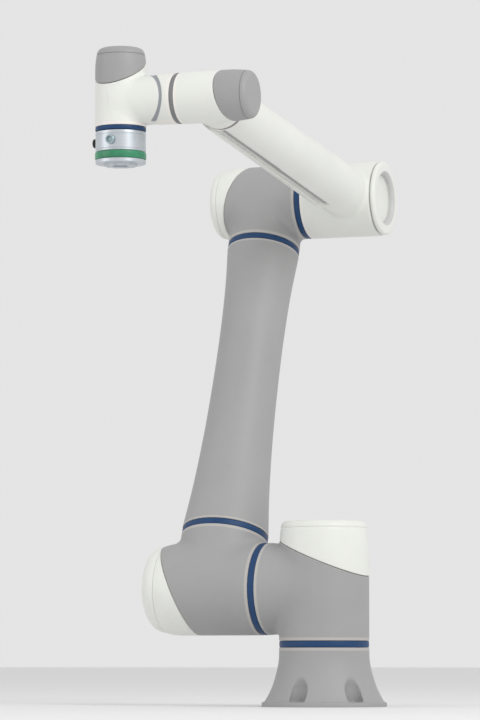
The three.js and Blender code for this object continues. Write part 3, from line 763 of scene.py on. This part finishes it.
def strip(start, end, middle, half, low, high, corner, arc_steps=18):
    """A curved strip along the tube, with rounded corners.

    middle and half are angles round the tube. low and high are the heights of its faces over the tube.
    """
    bm = bmesh.new()
    near = [corner * (1 - math.cos(math.radians(a))) for a in range(0, 91, 9)]
    stations = [start + d for d in near] + list(np.linspace(start + corner, end - corner, 24)[1:-1])
    stations += [end - d for d in reversed(near)]
    edge = min(1.4, (high - low) / 2)
    loops = []
    for at in stations:
        inset = max(corner - min(at - start, end - at), 0)
        narrowing = corner - math.sqrt(max(corner ** 2 - inset ** 2, 0))
        base = float(tube_radius(at))
        span = max(half - narrowing / base, half * 0.05)
        thick = high if inset < corner - 0.5 else high - edge * 0.6
        section = [(-span, low), (-span, thick - edge), (-span + edge * 0.3 / base, thick - edge * 0.3)]
        top = span - edge / base
        section += [(-top + 2 * top * i / arc_steps, thick) for i in range(arc_steps + 1)]
        section += [(span - edge * 0.3 / base, thick - edge * 0.3), (span, thick - edge), (span, low)]
        section += [(span - 2 * span * i / arc_steps, low) for i in range(1, arc_steps)]
        loop = []
        for angle, height in section:
            turn, reach = middle + angle, base + height
            loop.append(bm.verts.new((reach * math.cos(turn), reach * math.sin(turn), at)))
        loops.append(loop)
    for a, b in zip(loops, loops[1:]):
        for i in range(len(a)):
            j = (i + 1) % len(a)
            bm.faces.new((a[i], a[j], b[j], b[i]))
    bm.faces.new(loops[0])
    bm.faces.new(loops[-1][::-1])
    return bm


def add_forearm():
    bm = net(forearm_field, (-86, -86, 0), (TUBE_END + 6, 86, DRUM_END + 6), 3.0)
    cut(bm, (0, 0, DRUM_START), (0, 0, -1), END_CHAMFER)
    cut(bm, (TUBE_END, 0, 0), (1, 0, 0), END_CHAMFER)
    make("forearm_casting", bm, "root", "forearm", "white_casting", ("forearm_casting",),
         lip_and_shade=lip_near((2, DRUM_START), (0, TUBE_END)))
    # Seat in the well, rim with a rolled edge, step down to the disc.
    cover = [(0, 152), (62.6, 152), (62.6, 159.4), (72.6, 159.4), (73, 162.6),
             *arc(70.6, 165.2, 5.8, -62, 90, 14), (62, 171), *arc(58.4, 162.6, 8.4, 90, 180, 10),
             (50, 160.2), (47.5, 158.4), (30, 158.8), (12, 159.2), (0, 159.2)]
    # The cover is painted greyer at its foot and round its disc, as painted shade in these recesses.
    make("forearm_end_cover", lathe(cover), "root", "forearm", "white_cover", ("forearm_end_cover",),
         lip_and_shade=cover_painted_shade)
    seal_ring("forearm_tube_ring", "fore", "forearm", WRIST_RADIUS, WRIST_RADIUS - 11, WRIST_RING_HALF,
              "grey_ring", WRIST_RING)
    cover_strip = strip(STRIP_START, STRIP_END, STRIP_MIDDLE, STRIP_HALF, 0.4, 5.2, 24)
    make("forearm_under_cover", cover_strip, "fore", "forearm", "white_cover", ("forearm_under_cover",))
    # The groove is real. A grey strip laid in it darkens it further as painted shade.
    groove_shade_strip = strip(STRIP_START + 8, GROOVE_END - 1, GROOVE, GROOVE_SHADE_HALF, -4.8, -3.2, 4)
    make("forearm_groove_liner", groove_shade_strip, "fore", "forearm", "grey_cover")


add_forearm()


# ---------------------------------------------------------------- tool flange
def drilled(bm, holes):
    """Subtracts round holes, each [x, y, radius, low, high] along local Z."""
    def as_object(part):
        mesh = bpy.data.meshes.new("part")
        bmesh.ops.recalc_face_normals(part, faces=part.faces)
        part.to_mesh(mesh)
        part.free()
        piece = bpy.data.objects.new("part", mesh)
        bpy.context.collection.objects.link(piece)
        return piece

    body = as_object(bm)
    for x, y, radius, low, high in holes:
        tool = as_object(lathe([(0, low), (radius, low), (radius, high), (0, high)], 32))
        tool.location = (x, y, 0)
        modifier = body.modifiers.new("hole", "BOOLEAN")
        modifier.operation, modifier.object, modifier.solver = "DIFFERENCE", tool, "EXACT"
    bpy.context.view_layer.update()
    result = bmesh.new()
    evaluated = body.evaluated_get(bpy.context.evaluated_depsgraph_get())
    result.from_mesh(evaluated.to_mesh())
    evaluated.to_mesh_clear()
    for piece in [o for o in bpy.data.objects if o.name.startswith("part") and o.type == "MESH"]:
        mesh = piece.data
        bpy.data.objects.remove(piece)
        bpy.data.meshes.remove(mesh)
    return result


def connector(name, place, start, radius, height, slot, body, replaces=()):
    """A round plug socket: seat, neck, knurled collar, bored end and five pins."""
    end = start + height
    floor_at = start + height * 0.35
    neck, collar, bore, pin_circle = radius * 0.88, radius * 0.96, radius * 0.62, radius * 0.36
    outline = [(0, start), (radius, start), (radius, start + height * 0.22), (neck, start + height * 0.26),
               (neck, start + height * 0.34), (collar, start + height * 0.38), (collar, end - 0.9),
               (radius * 0.86, end), (radius * 0.66, end), (bore, end - 0.5), (bore, floor_at),
               (0, floor_at)]
    bm = lathe(outline, 96)
    ridges, ridge_depth = 32, 0.03
    for v in bm.verts:
        reach = math.hypot(v.co.x, v.co.y)
        if abs(reach - collar) < 0.01:
            ridge = 1 - ridge_depth * (math.cos(ridges * math.atan2(v.co.y, v.co.x)) > 0)
            v.co.x, v.co.y = v.co.x * ridge, v.co.y * ridge
    for i in range(5):
        angle = math.radians(72 * i)
        pin = bmesh.ops.create_cone(bm, cap_ends=True, segments=12, radius1=radius * 0.07,
                                    radius2=radius * 0.05, depth=height * 0.4)["verts"]
        shift = (pin_circle * math.cos(angle), pin_circle * math.sin(angle), start + height * 0.52)
        bmesh.ops.translate(bm, verts=pin, vec=Vector(shift))
    make(name, bm, place, body, slot, replaces)


FLANGE_RADIUS = 48               # heights below are from the wrist axis down
PLUG_RADIUS, PLUG_LENGTH, PLUG_SEAT = 9, 7, 48.3
TOOL_HOLE_CIRCLE, TOOL_HOLE_RADIUS = 25, 2.5


def turned_groove(top):
    """Outline points of a small groove round the flange body, from its upper edge down."""
    floor_radius = FLANGE_RADIUS - 0.7
    return [(FLANGE_RADIUS, top), (floor_radius, top - 0.6), (floor_radius, top - 1.8),
            (FLANGE_RADIUS, top - 2.4)]


def add_flange():
    body = lathe([
        (14, -66.5), (14, -58.9), (44, -58.9), *arc(46.4, -60.5, 1.6, 90, 0, 4), *turned_groove(-64.5),
        *turned_groove(-92.5), (FLANGE_RADIUS, -97), (47.2, -97.8), (39.5, -97.8), (39.5, -66.5)])
    make("flange_body", body, "head", "flange", "silver_aluminium", ("flange_body",))
    lit = lathe([
        (36.3, -111.7), *arc(47.2, -109.9, 1.8, -90, 0, 5), (49, -105), *arc(47.2, -100.1, 1.8, 0, 90, 5),
        (36.3, -98.3)])
    make("led_ring", lit, "head", "flange", "led_diffuser", ("led_ring",))
    # Core inside the lit ring, plate below it, spigot, and the centre bore from below.
    plate = lathe([
        (0, -98.3), (36, -98.3), (36, -112), (46.8, -112), (48, -113.2), (48, -118.8), (46.8, -120),
        (32.1, -120), (31.5, -120.6), (31.5, -123.4), (30.9, -124), (16.3, -124), (15.75, -123.4),
        (15.75, -117), (0, -117)])
    holes = []
    for k in range(1, 8):
        angle = math.radians(45 * k)
        x, y = TOOL_HOLE_CIRCLE * math.cos(angle), TOOL_HOLE_CIRCLE * math.sin(angle)
        holes.append((x, y, TOOL_HOLE_RADIUS, -125, -115))
    make("tool_flange", drilled(plate, holes), "head", "flange", "silver_aluminium", ("tool_flange",))
    for side, slot in (("front", "plug_metal"), ("side", "black_plastic")):
        name = f"tool_connector_{side}"
        connector(name, f"plug_{side}", PLUG_SEAT, PLUG_RADIUS, PLUG_LENGTH, slot, "flange", (name,))


add_flange()


# ---------------------------------------------------------------- connector panel at the back of the base
PANEL_CORNER = 6                 # radius of the panel's corners; the next two are to the corners' centres
PANEL_HALF_WIDTH, PANEL_HALF_HEIGHT = 31.7, 19.7
PANEL_BACK, PANEL_FACE = 84.3, 89.3
SOCKET_LENGTH = 13.5


def add_panel():
    bm = bmesh.new()
    outline = []
    for quarter, (side, rise) in enumerate(((1, 1), (-1, 1), (-1, -1), (1, -1))):
        for degrees in range(0, 91, 15):
            angle = math.radians(90 * quarter + degrees)
            outline.append((side * PANEL_HALF_WIDTH + PANEL_CORNER * math.cos(angle),
                            rise * PANEL_HALF_HEIGHT + PANEL_CORNER * math.sin(angle)))
    loops = [[bm.verts.new((x * k, y, PANEL_HEIGHT + z * k)) for x, z in outline]
             for y, k in ((PANEL_BACK, 1), (PANEL_FACE - 1, 1), (PANEL_FACE, 0.975))]
    for a, b in zip(loops, loops[1:]):
        for i in range(len(a)):
            j = (i + 1) % len(a)
            bm.faces.new((a[i], a[j], b[j], b[i]))
    bm.faces.new(loops[0])
    bm.faces.new(loops[-1][::-1])
    make("base_connector_panel", bm, "world", "base", "black_plastic", ("base_connector_panel",))
    connector("base_power_socket", "power_socket", PANEL_FACE, 13, SOCKET_LENGTH, "plug_metal", "base")
    connector("base_signal_socket", "signal_socket", PANEL_FACE, 9, SOCKET_LENGTH, "plug_metal", "base")


add_panel()

# ---------------------------------------------------------------- camera, light and floor
SPAN = 60.0                      # half of the floor's side, m
floor_mesh = bpy.data.meshes.new("floor")
corners = [(-SPAN, -SPAN, 0), (SPAN, -SPAN, 0), (SPAN, SPAN, 0), (-SPAN, SPAN, 0)]
floor_mesh.from_pydata(corners, [], [(0, 1, 2, 3)])
floor = bpy.data.objects.new("floor", floor_mesh)
bpy.context.collection.objects.link(floor)
floor_look = Nodes("floor")
floor_tone = floor_look.mix(floor_look.noise(2.0), (0.80, 0.80, 0.80), (0.83, 0.83, 0.83))
floor_look.set(Base_Color=floor_tone, Roughness=0.8)
floor_mesh.materials.append(floor_look.material)

CAMERA_AT = Vector((2.566, -7.080, 0.087))
YAW = math.radians(21.2)         # turned from looking along +Y towards -X
PITCH = math.radians(4.6)        # raised over level
camera = bpy.data.cameras.new("camera")
camera.lens = 188.2
camera.sensor_fit = "VERTICAL"
camera.sensor_width, camera.sensor_height = 24, 36
camera.clip_end = 200
eye = bpy.data.objects.new("camera", camera)
eye.location = CAMERA_AT
eye.rotation_euler = (math.pi / 2 + PITCH, 0, YAW)
bpy.context.collection.objects.link(eye)
bpy.context.scene.camera = eye

world = bpy.data.worlds.new("studio")
bpy.context.scene.world = world
world.use_nodes = True
world.node_tree.nodes["Background"].inputs["Color"].default_value = (1.0, 1.0, 1.0, 1)
world.node_tree.nodes["Background"].inputs["Strength"].default_value = 0.78
bpy.context.scene.view_settings.view_transform = "Standard"


def area_light(name, place, power, size=3.6, aim=(-0.1, 0, 0.6)):
    """A soft round lamp, placed and aimed in metres."""
    light = bpy.data.lights.new(name, "AREA")
    light.shape, light.size, light.energy = "DISK", size, power
    lamp = bpy.data.objects.new(name, light)
    lamp.location = place
    lamp.rotation_euler = (Vector(aim) - Vector(place)).to_track_quat("-Z", "Y").to_euler()
    bpy.context.collection.objects.link(lamp)


area_light("key", (4.5, -3.1, 4.2), 148)
area_light("fill", (-4.4, -4.0, 2.4), 36)
